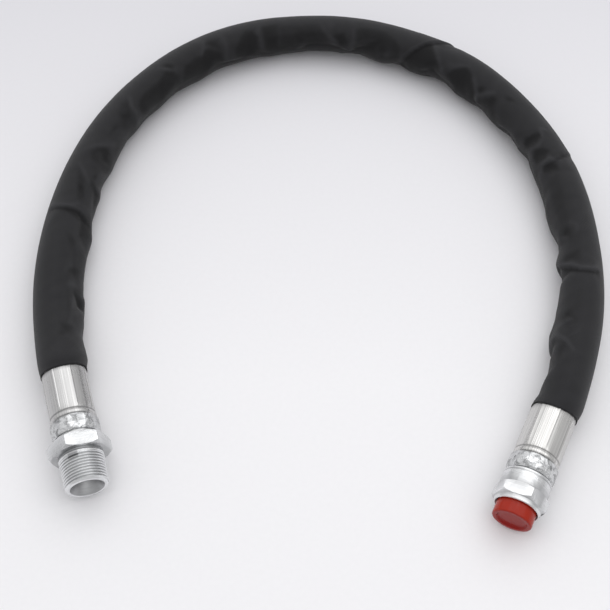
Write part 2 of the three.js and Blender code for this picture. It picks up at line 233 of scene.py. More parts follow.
def bump(tree, height, strength, distance, normal=None):
    node = add_node(tree, "ShaderNodeBump")
    feed(tree, node, Strength=strength, Distance=distance, Height=height)
    if normal is not None:
        feed(tree, node, Normal=normal)
    return node.outputs["Normal"]


# How far the hose lies off the sleeve's line, how far from an end that begins and is reached, the turn in
# degrees that it lies towards near the ends and on the arch, and where the one gives way to the other.
HOSE_ASIDE = 2.25
ASIDE_EASE = (12, 45)
ENDS_TURN, ARCH_TURN = 170, 138
TURN_EASE = (200, 380)
HOSE_CUT = 33.1
HOSE_RINGS = 361
HOSE_SIDES = 32


def eased(value, low, high):
    t = np.clip((np.asarray(value, dtype=float) - low) / (high - low), 0, 1)
    return t * t * (3 - 2 * t)


def hose_aside(s, length):
    """How far the hose lies off the sleeve's line, and towards which turn in degrees."""
    from_end = np.minimum(s, length - s)
    towards = ENDS_TURN - (ENDS_TURN - ARCH_TURN) * eased(from_end, *TURN_EASE)
    return HOSE_ASIDE * eased(from_end, *ASIDE_EASE), towards


def rubber_material():
    material, shader = new_material("black_rubber", (0.018, 0.018, 0.019), 0.62)
    tree = material.node_tree
    grain = use_group(material, uneven_grain, Broad_Scale=60.0, Fine_Scale=1800.0)
    tone = blend_color(tree, grain.outputs["Broad"], (0.014, 0.014, 0.015, 1), (0.026, 0.026, 0.027, 1))
    feed(tree, shader, **{"Base Color": tone, "Normal": bump(tree, grain.outputs["Fine"], 0.3, 0.0001)})
    return material


# Two directions of crossing threads: one thread lies over the other by turns. The vector is in threads.
def make_weave():
    group, given, out = new_group(
        "crossing_threads",
        [("Threads", "NodeSocketVector")],
        [("Height", "NodeSocketFloat"), ("Over", "NodeSocketFloat")],
    )
    apart = feed(group, add_node(group, "ShaderNodeSeparateXYZ"), Vector=given.outputs["Threads"])
    x, y = apart.outputs["X"], apart.outputs["Y"]
    cell = math_node(group, "ADD", math_node(group, "FLOOR", x), math_node(group, "FLOOR", y))
    over = math_node(group, "FLOORED_MODULO", cell, 2.0)
    ridge_x = math_node(group, "ABSOLUTE", math_node(group, "SINE", math_node(group, "MULTIPLY", x, math.pi)))
    ridge_y = math_node(group, "ABSOLUTE", math_node(group, "SINE", math_node(group, "MULTIPLY", y, math.pi)))
    under = math_node(group, "SUBTRACT", 1.0, over)
    across = math_node(group, "MULTIPLY", ridge_x, over)
    height = math_node(group, "MULTIPLY_ADD", ridge_y, under, across)
    feed(group, out, Height=height, Over=over)
    return group


crossing_threads = make_weave()


def threads_of(tree, turn, around, along):
    """The wrap UV as threads: so many around and along, turned by an angle."""
    uv = add_node(tree, "ShaderNodeUVMap", uv_map="wrap").outputs["UV"]
    scaled = add_node(tree, "ShaderNodeVectorMath", operation="MULTIPLY")
    feed(tree, scaled, i0=uv, i1=(around, along, 1))
    turned = add_node(tree, "ShaderNodeVectorRotate", rotation_type="Z_AXIS")
    return feed(tree, turned, Vector=scaled.outputs[0], Angle=turn).outputs["Vector"]


def braid_material():
    material, shader = new_material("braid_steel", (0.5, 0.5, 0.51), 0.38, 1.0)
    tree = material.node_tree
    weave = use_group(material, crossing_threads)
    tree.links.new(threads_of(tree, math.radians(45), 40.0, 520.0), weave.inputs["Threads"])
    tone = blend_color(tree, weave.outputs["Height"], (0.22, 0.21, 0.2, 1), (0.62, 0.62, 0.63, 1))
    feed(tree, shader, **{"Base Color": tone, "Normal": bump(tree, weave.outputs["Height"], 0.7, 0.0002)})
    return material


def ply(name, inner, outer, material):
    s, line = hose_line(HOSE_CUT, HOSE_RINGS)
    side, rise, _ = line_frames(line)
    aside, towards = hose_aside(s - HOSE_CUT, s[-1] - 2 * HOSE_CUT)
    line = line + aside[:, None] * off_line(np.radians(towards), side, rise)

    def place(t, a):
        i = np.rint(t * (len(s) - 1)).astype(int)
        return line[i] + outer * off_line(2 * math.pi * a, side[i], rise[i])

    bm = wrapped_grid(HOSE_RINGS - 1, HOSE_SIDES, place)
    return wall(finish_piece(name + "_tube", bm, material, "hose", [name]), outer - inner)


COVER_R = 15.3
rubber = rubber_material()
braid_steel = braid_material()
plies = [
    ply("inner_tube", 9.6, 11.3, rubber),
    ply("inner_wire_braid", 11.5, 12.2, braid_steel),
    ply("friction_layer", 12.4, 13.0, rubber),
    ply("outer_wire_braid", 13.2, 13.9, braid_steel),
    ply("hose_cover", 14.1, COVER_R, rubber),
]

# ---- the protective sleeve ----------------------------------------------------------------------------
# A flat-woven black textile tube, slipped loosely over the hose and trapped at its ends by the ferrules.
# It is taut round the outside of the bend and gathers in folds on the inside, where it is too long.
SLEEVE_R = 18.1
SLEEVE_WALL = 0.45
SLEEVE_RINGS = 561
SLEEVE_SIDES = 84
PER_DEGREE = SLEEVE_R * math.pi / 180
# The cloth rests on the cover, stands no further out than this, and stays this far off the floor.
HOSE_HELD = COVER_R + SLEEVE_WALL + 0.05
MOST_OUT = 5
FLOOR_GAP = 0.6
# The cut ends: drawn in over this length, with a small lip, and hanging back a little at the sides.
END_EASE = 14
END_IN = 0.5
LIP, LIP_REACH = 0.1, 1.5
EDGE_BACK = {"male": 2.0, "swivel": 2.8}
BACK_REACH = 5

# The outline along the inside of the arch: distance along the hose, and how far it stands out.
INSIDE = [
    (10, 2), (57, 3.4), (67, 4.3), (71, 4.3), (74, 3.2), (99, 2.9), (115, 3.5), (133, 4.9), (154, 1),
    (180, 1.2), (190, -1.5), (201, -0.9), (212, 0.4), (250, -2.9), (264, -1.5), (280, -2.9), (301, -1.7),
    (324, -3.4), (349, -1.3), (357, -1.3), (379, -4), (400, -2.7), (418, -3.4), (428, -2.1), (442, -4.3),
    (455, -3.7), (468, -6.2), (492, -6.7), (495, -4.8), (505, -5.1), (512, -6.4), (536, -1.2), (540, -1.2),
    (554, -4.6), (566, -1.5), (577, -1.4), (590, -5.9), (605, -4.3), (620, -0.7), (638, -1.3), (645, -3.4),
    (653, -3.5), (666, -1.7), (678, -2), (689, -4.7), (711, -3.1), (724, -5), (730, -2.9), (745, -1.5),
    (790, 0.9), (805, -0.2), (820, -4.2), (829, -3.9), (837, -1.3), (847, -1.7), (854, -4.8), (863, -4.5),
    (868, -2.1), (899, -0.1), (912, 2.1), (922, 1.1), (928, -0.5), (935, -5.1), (941, -4), (959, -5.2),
    (969, -2.5),
]
# Hollows between the creases: how deep in the middle, how much painted shade darkens the cloth there, and the
# corners, as distance along the hose and degrees from the inside of the arch over the top. Those with no
# depth are painted shade only.
HOLLOWS = [
    (0.7, 0.22, [(26, 78), (37, 76), (38, 58), (34, 42), (27, 52)]),
    (0.5, 0.12, [(40, 54), (75, 56), (78, 42), (50, 42)]),
    (0.9, 0.2, [(38, 8), (56, 26), (75, 34), (76, 8), (70, -14), (50, -14)]),
    (1.0, 0.28, [(84, 52), (92, 56), (97, 36), (98, 20), (90, 12), (86, 28)]),
    (0.6, 0.15, [(110, 52), (125, 72), (128, 58), (122, 40), (112, 40)]),
    (1.6, 0.48, [(128, 30), (142, 48), (149.5, 88), (150.5, 60), (150, 20), (147, -4), (136, -8),
                 (129, 8)]),
    (1.1, 0.27, [(160, 58), (166, 72), (178, 80), (190, 88), (184, 72), (176, 56), (164, 48)]),
    (1.3, 0.42, [(166, 4), (170, 30), (183, 49), (184, 36), (180, 18), (177, 0), (170, -8)]),
    (0.7, 0.18, [(185, 48), (193, 46), (192, 36), (186, 36)]),
    (1.4, 0.27, [(198, 20), (204, 45), (203, 68), (210, 82), (217, 68), (221, 50), (221, 30), (214, 4),
                 (206, 4)]),
    (0.6, 0.2, [(210, 52), (219, 58), (221.5, 42), (215, 28)]),
    (1.1, 0.32, [(223, 8), (228, 24), (234, 36), (244, 16), (236, 4)]),
    (0.6, 0.15, [(230, 62), (244, 70), (252, 58), (240, 50)]),
    (1.0, 0.2, [(258, 78), (268, 90), (271, 76), (266, 56), (261, 36), (254, 20), (248, 36), (250, 60)]),
    (1.4, 0.33, [(274, 24), (279, 55), (290, 62), (303, 60), (316, 66), (322, 74), (326, 58), (328, 30),
                 (328, 2), (302, 0), (284, 2), (276, 12)]),
    (0.8, 0.22, [(273, 26), (278, 46), (281, 26), (284, 8), (277, 14)]),
    (0.9, 0.24, [(322, 98), (328, 88), (331, 72), (327, 62), (322, 78)]),
    (1.3, 0.36, [(331, 25), (338, 52), (350, 58), (362, 60), (366, 68), (378, 42), (380, 18), (372, -2),
                 (350, -18), (338, -12), (332, 4)]),
    (0.8, 0.2, [(366, 86), (372, 92), (380, 78), (378, 50), (369, 62)]),
    (1.6, 0.38, [(391, 30), (400, 62), (407, 85), (413, 78), (417, 60), (416, 30), (419, 0), (404, -6),
                 (395, 5)]),
    (0.8, 0.32, [(400, 18), (412, 20), (418, 14), (420, -2), (405, -7)]),
    (1.2, 0.33, [(422, 84), (436, 88), (437, 60), (435, 20), (434, -16), (424, -12), (421, 10),
                 (423, 50)]),
    (0.8, 0.18, [(438, 82), (454, 76), (472, 80), (478, 62), (484, 44), (490, 24), (480, 12), (458, 6),
                 (452, -4), (438, -6)]),
    (0.6, 0.16, [(452, 58), (476, 56), (482, 40), (480, 20), (455, 22)]),
    (1.1, 0.3, [(490, 50), (499, 62), (504, 34), (500, 4), (492, 4)]),
    (1.1, 0.3, [(511, 74), (520, 84), (538, 82), (548, 66), (558, 44), (548, 30), (530, 10), (513, 14)]),
    (0.7, 0.2, [(530, 0), (545, 8), (557, 22), (550, -8), (538, -20), (528, -10)]),
    (0.0, 0.62, [(560, 8), (563, 30), (568, 50), (574, 74), (580, 95), (585, 84), (590, 66), (598, 46),
                 (600, 22), (592, 6), (586, -12), (576, -24), (566, -20)]),
    (0.0, 0.25, [(560, 12), (568, 52), (572, 30), (574, -18), (564, -14)]),
    (1.4, 0.4, [(606, 26), (612, 50), (620, 75), (628, 71), (634, 52), (640, 36), (645, 12), (640, -14),
                (620, -22), (612, -8)]),
    (1.2, 0.34, [(652, 22), (660, 58), (664, 60), (668, 38), (672, 20), (670, -2), (655, 2)]),
    (0.8, 0.2, [(664, 80), (676, 95), (681, 88), (672, 70)]),
    (0.7, 0.16, [(644, 58), (650, 66), (650, 42), (643, 32), (638, 44)]),
    (2.2, 0.5, [(716, 78), (718, 87), (723, 70), (725, 48), (722, 30), (716, 26), (713, 46)]),
    (1.6, 0.42, [(730, 70), (737, 84), (743, 62), (742, 32), (734, 28), (729, 48)]),
    (0.5, 0.12, [(674, 20), (700, 28), (708, 16), (690, 4), (675, -2)]),
    (1.0, 0.28, [(740, 124), (744, 128), (747, 98), (745, 76), (741, 92)]),
    (2.0, 0.46, [(748, 60), (752, 85), (758, 85), (759, 56), (753, 40), (748, 44)]),
    (1.0, 0.3, [(745, 26), (750, 27), (751, 12), (746, 11)]),
    (0.7, 0.15, [(760, 74), (776, 70), (812, 66), (812, 42), (785, 36), (766, 42)]),
    (0.8, 0.16, [(752, 14), (776, 28), (792, 10), (785, -10), (764, -10)]),
    (1.1, 0.26, [(813, 62), (826, 73), (829, 60), (820, 48), (823, 30), (818, 28), (813, 44)]),
    (0.5, 0.16, [(838, 84), (850, 80), (850, 44), (842, 36)]),
    (0.7, 0.16, [(893, 62), (906, 80), (909, 54), (905, 38), (896, 44)]),
    (0.7, 0.13, [(927, 66), (948, 58), (936, 44), (926, 50)]),
    (0.9, 0.28, [(921, 14), (937, 33), (931, 36), (923, 30)]),
]
# Creases that stand up between the hollows, painted paler for the light they catch and with pale rubbing:
# height, width, how much paler, points. Those with no height are painted light and shade only.
CREASES = [
    (0.5, 1.6, 0.34, [(151.5, 128), (152, 100), (153, 76), (157, 60)]),
    (0.5, 1.5, 0.18, [(38, 52), (47, 42), (60, 37)]),
    (0.8, 3.5, 0.24, [(77, 46), (79, 26)]),
    (0.7, 3.0, 0.2, [(34, 30), (31, 22)]),
    (0.4, 1.4, 0.16, [(92, 58), (97, 44)]),
    (0.5, 1.6, 0.18, [(196, 96), (189, 74), (182, 52)]),
    (0.9, 1.8, 0.22, [(211, 98), (217, 80), (223, 56), (228, 38)]),
    (0.5, 2.0, 0.16, [(187, 32), (194, 26)]),
    (0.9, 1.8, 0.22, [(277, 84), (271, 62), (269, 40), (266, 18)]),
    (0.7, 1.6, 0.18, [(317, 94), (322, 74), (328, 60)]),
    (0.6, 1.6, 0.2, [(367, 90), (363, 72), (359, 58)]),
    (0.7, 2.6, 0.12, [(384, 92), (385, 60), (382, 28), (380, 8)]),
    (0.6, 2.0, 0.06, [(421, 92), (417, 62), (420, 24)]),
    (0.7, 1.8, 0.14, [(477, 84), (480, 62), (486, 44), (492, 30)]),
    (0.8, 4.0, 0.16, [(485, 84), (487, 76)]),
    (0.5, 1.8, 0.16, [(508, 66), (509, 30), (506, 4)]),
    (1.2, 2.6, 0.42, [(581, 104), (586, 78), (592, 58), (600, 34)]),
    (0.0, 3.0, -0.1, [(555, 8), (558, 35), (565, 60), (574, 86)]),
    (0.8, 2.6, 0.2, [(602, 48), (611, 60), (622, 80)]),
    (0.9, 2.0, 0.26, [(634, 60), (641, 44), (646, 30), (647, 8)]),
    (0.7, 1.8, 0.24, [(648, 34), (654, 54), (658, 66)]),
    (0.9, 1.2, 0.42, [(716, 104), (713, 92), (717, 89), (721, 86)]),
    (0.6, 1.6, 0.18, [(724, 80), (728, 64), (726, 40)]),
    (0.8, 2.0, 0.24, [(752, 34), (746, 52), (744, 70), (749, 96)]),
    (0.8, 1.5, 0.36, [(852, 130), (857, 108), (856.5, 82), (852, 56), (848, 28), (843, 4)]),
    (0.9, 1.8, 0.3, [(933, 84), (925, 62), (919, 34), (914, 4)]),
    (0.5, 1.5, 0.2, [(915, 88), (920, 72)]),
    (0.7, 1.6, 0.22, [(905, 66), (910, 42), (912, 12)]),
    (0.5, 1.5, 0.2, [(812, 70), (815, 85), (820, 82)]),
    (0.4, 1.6, 0.12, [(778, 32), (791, 20)]),
    (0.0, 5.0, 0.07, [(700, 92), (780, 92), (860, 94), (976, 88)]),
    (0.0, 3.0, 0.06, [(10, 86), (60, 82), (120, 86)]),
]
# Overlaps: points, then how far the cloth on the left of that line stands up, how far it drops on the
# right, and how far each reaches.
FOLDS = [
    ([(151, 128), (150, 87), (150, 50), (146, 20)], 0.5, 1.4, 5, 7),
    ([(558, -14), (560, 10), (563, 30), (568, 50), (574, 74), (581, 97), (588, 118), (594, 140)],
     1.2, 2.0, 9, 12),
    ([(748, 60), (747, 87), (741, 150)], 0.6, 1.2, 5, 4),
    ([(846, 4), (852, 26), (855, 50), (858, 76), (859, 100), (858, 120)], 0.8, 1.7, 4, 4),
]
# Broad bands of painted light and shade, darker on the inside of the arch and paler along its top: how much
# paler, from and to along the hose, from and to round it, and the soft edge.
PAINTED_LIGHT_BANDS = [
    (-0.14, 250, 700, -40, 62, 30), (0.1, 240, 620, 92, 150, 14), (-0.05, 0, 140, 104, 134, 12),
    (-0.05, 862, 990, 100, 134, 8), (-0.1, 610, 1000, -40, 20, 12), (-0.05, 700, 980, 20, 100, 20),
    (-0.2, 170, 820, -50, 12, 9), (-0.12, 30, 140, -50, 22, 9),
]
PAINTED_BAND_EASE = 20
# Rows of corners that carry the outline round the inside: degrees, how far every other corner is shifted,
# how much of the outline shows there, and which of its points are taken.
OUTLINE_ROWS = ((-2, 3, 1, 1), (-40, 3, 1, 1), (-78, 5, 0.4, 2))
# Two rows of plain corners on the taut side: degrees, shift, first place, spacing and how many.
PLAIN_ROWS = ((136, 6, -20, 29, 36), (-112, 6, -20, 29, 36))
# A hollow's rim is drawn in by this share, and stands up where the hollow is shallow. Corners nearer to
# the inside than this many degrees are left to the outline.
RIM_IN, RIM_UP, RIM_DOWN = 0.15, 0.15, 0.3
OUTLINE_REACH = 24
# Past the top the taut side stands out more: how much, and from and to along the hose.
TAUT_RISE = ((0.3, 440, 500), (0.5, 590, 640))
TAUT_TURN = (70, 120)
# Slight waves all over: length along the hose, lobes round it, phase, and height.
WAVES = ((47, 2, 0.4, 0.1), (29, -3, 2.1, 0.08), (13, 5, 4.0, 0.05))
FOLD_EDGE = 0.7
LINE_END = 3
NEAR = 1e-6


def beside_line(points, s, q):
    """Signed distance of each place (s, q) from a line of points, and how much it lies beside it."""
    best = np.full(s.shape, 1e9)
    signed = np.zeros(s.shape)
    beyond = np.zeros(s.shape)
    last = len(points) - 2
    for k in range(len(points) - 1):
        (s0, a0), (s1, a1) = points[k], points[k + 1]
        p0, p1 = np.array((s0, a0 * PER_DEGREE)), np.array((s1, a1 * PER_DEGREE))
        d = p1 - p0
        size = math.hypot(*d)
        t = ((s - p0[0]) * d[0] + (q - p0[1]) * d[1]) / size ** 2
        c = np.clip(t, 0, 1)
        off_s, off_q = s - p0[0] - c * d[0], q - p0[1] - c * d[1]
        gap = np.hypot(off_s, off_q)
        nearer = gap < best
        best = np.where(nearer, gap, best)
        signed = np.where(nearer, np.where(d[0] * (q - p0[1]) - d[1] * (s - p0[0]) > 0, gap, -gap), signed)
        over = np.zeros(s.shape)
        if k == 0:
            over = np.maximum(over, -t * size)
        if k == last:
            over = np.maximum(over, (t - 1) * size)
        beyond = np.where(nearer, over, beyond)
    return signed, np.exp(-(np.maximum(beyond, 0) / LINE_END) ** 2)


def facet_points():
    """The facets' corners (distance, degrees, how far out) and the creases that they meet at."""
    points, creases = [], []
    for high, _, _, line in CREASES:
        if high:
            creases += [(len(points) + k, len(points) + k + 1) for k in range(len(line) - 1)]
            ends = (0, len(line) - 1)
            points += [(x, a, high * (0.5 if k in ends else 1)) for k, (x, a) in enumerate(line)]
    for deep, _, corners in HOLLOWS:
        if deep:
            x, a = (sum(c[k] for c in corners) / len(corners) for k in (0, 1))
            points.append((x, a, -deep))
            for cx, ca in corners:
                if ca > OUTLINE_REACH:
                    rim = ((1 - RIM_IN) * cx + RIM_IN * x, (1 - RIM_IN) * ca + RIM_IN * a)
                    points.append((*rim, RIM_UP - RIM_DOWN * deep))
    for degrees, shift, share, step in OUTLINE_ROWS:
        points += [(x, degrees + shift * (-1) ** k, share * h) for k, (x, h) in enumerate(INSIDE[::step])]
    for degrees, shift, first, gap, count in PLAIN_ROWS:
        points += [(first + gap * k, degrees + shift * (-1) ** k, 0) for k in range(count)]
    return points, creases


def facets(s, turn):
    """Height of the facets at each place of a regular grid (rows along, columns around)."""
    points, creases = facet_points()
    flat = [Vector((x, a * PER_DEGREE)) for x, a, _ in points]
    corners, _, faces, origin, _, _ = geometry.delaunay_2d_cdt(flat, creases, [], 0, 1e-4)
    high = [sum(points[k][2] for k in o) / len(o) if o else 0.0 for o in origin]
    q = turn * PER_DEGREE
    out = np.zeros(s.shape)
    for face in faces:
        (x0, y0), (x1, y1), (x2, y2) = (corners[k] for k in face)
        h0, h1, h2 = (high[k] for k in face)
        area = (x1 - x0) * (y2 - y0) - (x2 - x0) * (y1 - y0)
        rows = (s[:, 0] >= min(x0, x1, x2) - NEAR) & (s[:, 0] <= max(x0, x1, x2) + NEAR)
        if abs(area) < 1e-9 or not rows.any():
            continue
        x, y = s[rows], q[rows]
        w1 = ((x - x0) * (y2 - y0) - (x2 - x0) * (y - y0)) / area
        w2 = ((x1 - x0) * (y - y0) - (x - x0) * (y1 - y0)) / area
        inside = (w1 >= -NEAR) & (w2 >= -NEAR) & (w1 + w2 <= 1 + NEAR)
        part = out[rows]
        part[inside] = (h0 + w1 * (h1 - h0) + w2 * (h2 - h0))[inside]
        out[rows] = part
    return out


def within(corners, s, q):
    """1 inside a polygon of corners, 0 outside it."""
    hit = np.zeros(s.shape, dtype=bool)
    for (x0, a0), (x1, a1) in zip(corners, corners[1:] + corners[:1]):
        y0, y1 = a0 * PER_DEGREE, a1 * PER_DEGREE
        if y0 != y1:
            hit ^= ((y0 > q) != (y1 > q)) & (s < (x1 - x0) * (q - y0) / (y1 - y0) + x0)
    return hit.astype(float)


def softened(grid, times):
    for _ in range(times):
        grid = (np.roll(grid, 1, 1) + 2 * grid + np.roll(grid, -1, 1)) / 4
        grid[1:-1] = (grid[:-2] + 2 * grid[1:-1] + grid[2:]) / 4
    return grid


def sleeve_rise(s, degrees):
    """How far the sleeve's surface lies outside its plain radius, on a grid with one row for each ring."""
    turn = (degrees + 180) % 360 - 180
    q = turn * PER_DEGREE
    rise = softened(facets(s, turn), 1)
    for points, up, down, reach_up, reach_down in FOLDS:
        signed, beside = beside_line(points, s, q)
        step = 0.5 + 0.5 * np.tanh(signed / FOLD_EDGE)
        rise += beside * (up * np.exp(-np.abs(signed) / reach_up) * step)
        rise -= beside * (down * np.exp(-np.abs(signed) / reach_down) * (1 - step))
    rise += sum(much * eased(s, s0, s1) for much, s0, s1 in TAUT_RISE) * eased(turn, *TAUT_TURN)
    slack = 0.55 + 0.45 * np.cos(np.radians(turn - 10))
    for wave, lobes, phase, size in WAVES:
        rise += slack * size * np.cos(2 * math.pi * s / wave + lobes * np.radians(turn) + phase)
    aside, towards = hose_aside(s, float(s.max()))
    off = np.radians(turn - towards)
    held = aside * np.cos(off) + np.sqrt(HOSE_HELD ** 2 - (aside * np.sin(off)) ** 2)
    return np.clip(rise, held - SLEEVE_R, MOST_OUT)


def sleeve_painted_shade(s, degrees):
    """Painted light and shade on the cloth, with pale rubbing on crests: how much paler or darker it looks
    than its shape alone makes it.
    """
    turn = (degrees + 180) % 360 - 180
    q = turn * PER_DEGREE
    tone = np.zeros(s.shape)
    for _, dark, corners in HOLLOWS:
        tone -= dark * within(corners, s, q)
    tone = softened(tone, 1)
    for _, wide, pale, line in CREASES:
        signed, beside = beside_line(line, s, q)
        tone += pale * beside * np.exp(-(signed / wide) ** 2)
    for pale, s0, s1, a0, a1, edge in PAINTED_LIGHT_BANDS:
        along = eased(s, s0 - PAINTED_BAND_EASE, s0 + PAINTED_BAND_EASE) * (1 - eased(s, s1 - PAINTED_BAND_EASE, s1 + PAINTED_BAND_EASE))
        tone += pale * along * eased(turn, a0 - edge, a0 + edge) * (1 - eased(turn, a1 - edge, a1 + edge))
    return tone


sleeve_s, sleeve_line = hose_line(0.0, SLEEVE_RINGS)
sleeve_side, sleeve_up, sleeve_along = line_frames(sleeve_line)
sleeve_length = float(sleeve_s[-1])
ring_turn = 360.0 * np.arange(SLEEVE_SIDES) / SLEEVE_SIDES
sleeve_grid = np.meshgrid(sleeve_s, ring_turn, indexing="ij")
sleeve_out = sleeve_rise(*sleeve_grid)


def sleeve_place(t, a):
    i = np.rint(t * (SLEEVE_RINGS - 1)).astype(int)
    j = np.rint(a * SLEEVE_SIDES).astype(int) % SLEEVE_SIDES
    s, turn = sleeve_s[i], 2 * math.pi * a
    from_end = np.minimum(s, sleeve_length - s)
    ease = eased(from_end, 0, END_EASE)
    lip = LIP * np.exp(-(from_end / LIP_REACH) ** 2)
    radius = SLEEVE_R - END_IN * (1 - ease) + ease * sleeve_out[i, j] + lip
    co = sleeve_line[i] + radius[:, None] * off_line(turn, sleeve_side[i], sleeve_up[i])
    back = np.where(s < sleeve_length / 2, EDGE_BACK["male"], -EDGE_BACK["swivel"]) * np.cos(turn) ** 2
    co += (back * np.exp(-from_end / BACK_REACH))[:, None] * sleeve_along[i]
    co[:, 2] = np.maximum(co[:, 2], FLOOR_GAP)
    return co


def marked(tree, name):
    """What a piece's own attribute says at each point."""
    return add_node(tree, "ShaderNodeAttribute", attribute_name=name).outputs["Fac"]


def sleeve_material():
    material, shader = new_material("woven_black_textile", (0.024, 0.024, 0.026), 0.85)
    tree = material.node_tree
    weave = use_group(material, crossing_threads)
    tree.links.new(threads_of(tree, 0.0, 96.0, 820.0), weave.inputs["Threads"])
    grain = use_group(material, uneven_grain, Broad_Scale=42.0, Fine_Scale=900.0)
    # Painted shade and light: the cloth runs from near black in its hollows to grey on its crests, with pale
    # rubbing on the crests.
    cloth = blend_color(tree, marked(tree, "shade_and_rubbing"), (0.0021, 0.0021, 0.0025, 1), (0.0365, 0.0365, 0.04, 1))
    dusty = math_node(tree, "MULTIPLY", grain.outputs["Broad"], 0.16)
    with_painted_shade = blend_color(tree, dusty, cloth, (0.034, 0.033, 0.036, 1))
    between = math_node(tree, "MULTIPLY", weave.outputs["Height"], 0.35)
    dark = blend_color(tree, between, (0.008, 0.008, 0.009, 1), with_painted_shade)
    thread = blend_color(tree, 0.72, dark, with_painted_shade)
    near = bump(tree, grain.outputs["Fine"], 0.25, 0.0003)
    normal = bump(tree, weave.outputs["Height"], 0.45, 0.00025, near)
    feed(tree, shader, **{"Base Color": thread, "Normal": normal})
    feed(tree, shader, **{"Sheen Weight": 0.12, "Sheen Roughness": 0.5, "Specular IOR Level": 0.25})
    return material


sleeve = finish_piece(
    "woven_sleeve", wrapped_grid(SLEEVE_RINGS - 1, SLEEVE_SIDES, sleeve_place), sleeve_material(),
    "hose", ["protective_sleeve"], sharp=180,
)
# Painted shade in hollows and painted light on crests, with pale rubbing: rounds of averaging that give the
# cloth round a point, how pale a millimetre over it makes the point, and the most that hollows are painted
# darker and crests paler.
SHADE_RUB_ROUNDS = 6
SHADE_RUB_GAIN = 1.2
SHADE_RUB_RANGE = (-0.35, 0.22)


def mark_shade_and_rubbing(obj):
    """Painted light on crests and painted shade in hollows, with pale rubbing: how far each point stands out
    from those round it, and its painted tone.
    """
    mesh = obj.data
    co = np.zeros(len(mesh.vertices) * 3)
    mesh.vertices.foreach_get("co", co)
    co = co.reshape(-1, 3)
    normals = np.zeros(len(mesh.vertices) * 3)
    mesh.vertices.foreach_get("normal", normals)
    normals = normals.reshape(-1, 3)
    edges = np.zeros(len(mesh.edges) * 2, dtype=int)
    mesh.edges.foreach_get("vertices", edges)
    a, b = edges.reshape(-1, 2).T
    mean = co.copy()
    count = np.bincount(np.r_[a, b], minlength=len(co))[:, None]
    for _ in range(SHADE_RUB_ROUNDS):
        total = np.zeros_like(mean)
        np.add.at(total, a, mean[b])
        np.add.at(total, b, mean[a])
        mean = 0.5 * mean + 0.5 * total / count
    out = ((co - mean) * normals).sum(1) / MM
    out = out - np.median(out)
    loops = np.zeros(len(mesh.loops), dtype=int)
    mesh.loops.foreach_get("vertex_index", loops)
    uv = np.zeros(len(mesh.loops) * 2)
    mesh.uv_layers["wrap"].data.foreach_get("uv", uv)
    around, along = uv.reshape(-1, 2).T
    tone = np.zeros(len(co))
    ring = np.rint(along * (SLEEVE_RINGS - 1)).astype(int)
    side = np.rint(around * SLEEVE_SIDES).astype(int) % SLEEVE_SIDES
    tone[loops] = sleeve_painted_shade(*sleeve_grid)[ring, side]
    shade_and_rubbing = np.clip(0.5 + np.clip(out * SHADE_RUB_GAIN, *SHADE_RUB_RANGE) + tone, 0, 1)
    layer = mesh.attributes.new("shade_and_rubbing", "FLOAT", "POINT")
    layer.data.foreach_set("value", shade_and_rubbing.astype(np.float32))


mark_shade_and_rubbing(sleeve)
wall(sleeve, SLEEVE_WALL)

# ---- ferrules -----------------------------------------------------------------------------------------
# A turned steel tube with an inward end wall, bright zinc plated, pressed by eight dies: each leaves a
# slightly flattened face, with a low ridge of steel squeezed up between it and the next.
DIES = 8
CRIMP_END = 35.4
BARE_R = 16.9
FERRULE_SIDES = 192


def fitting_place(edge):
    a = math.radians(edge["heading"])
    side, up, out = (math.cos(a), math.sin(a), 0), (0, 0, 1), (math.sin(a), -math.cos(a), 0)
    place = Matrix((side, up, out)).transposed().to_4x4()
    place.translation = (edge["x"], edge["y"], edge["z"])
    return place


male_place = fitting_place(MALE_EDGE)
swivel_place = fitting_place(SWIVEL_EDGE)


def lathe_uv(bm):
    """UV of a turned piece: turns about its axis across, decimetres along it up."""
    layer = bm.loops.layers.uv.get("wrap") or bm.loops.layers.uv.new("wrap")
    for face in bm.faces:
        turns = [math.atan2(l.vert.co.y, l.vert.co.x) / (2 * math.pi) for l in face.loops]
        split = max(turns) - min(turns) > 0.5
        for loop, turn in zip(face.loops, turns):
            loop[layer].uv = (turn + 1 if split and turn < 0 else turn, loop.vert.co.z / 100)


def about_axis(r, angle, u):
    """Points at a radius, at an angle in radians and at u along a fitting."""
    return np.stack([r * np.cos(angle), r * np.sin(angle), u], axis=1)


def mark_dull_shade(bm, *zones):
    """Marks where a piece is duller and painted darker for shade: zones of (u0, u1, r0, r1, how much)."""
    layer = bm.verts.layers.float.new("dull_shade")
    for v in bm.verts:
        r, u = math.hypot(v.co.x, v.co.y), v.co.z
        there = [much for u0, u1, r0, r1, much in zones if u0 <= u <= u1 and r0 <= r <= r1]
        v[layer] = max(there, default=0.0)


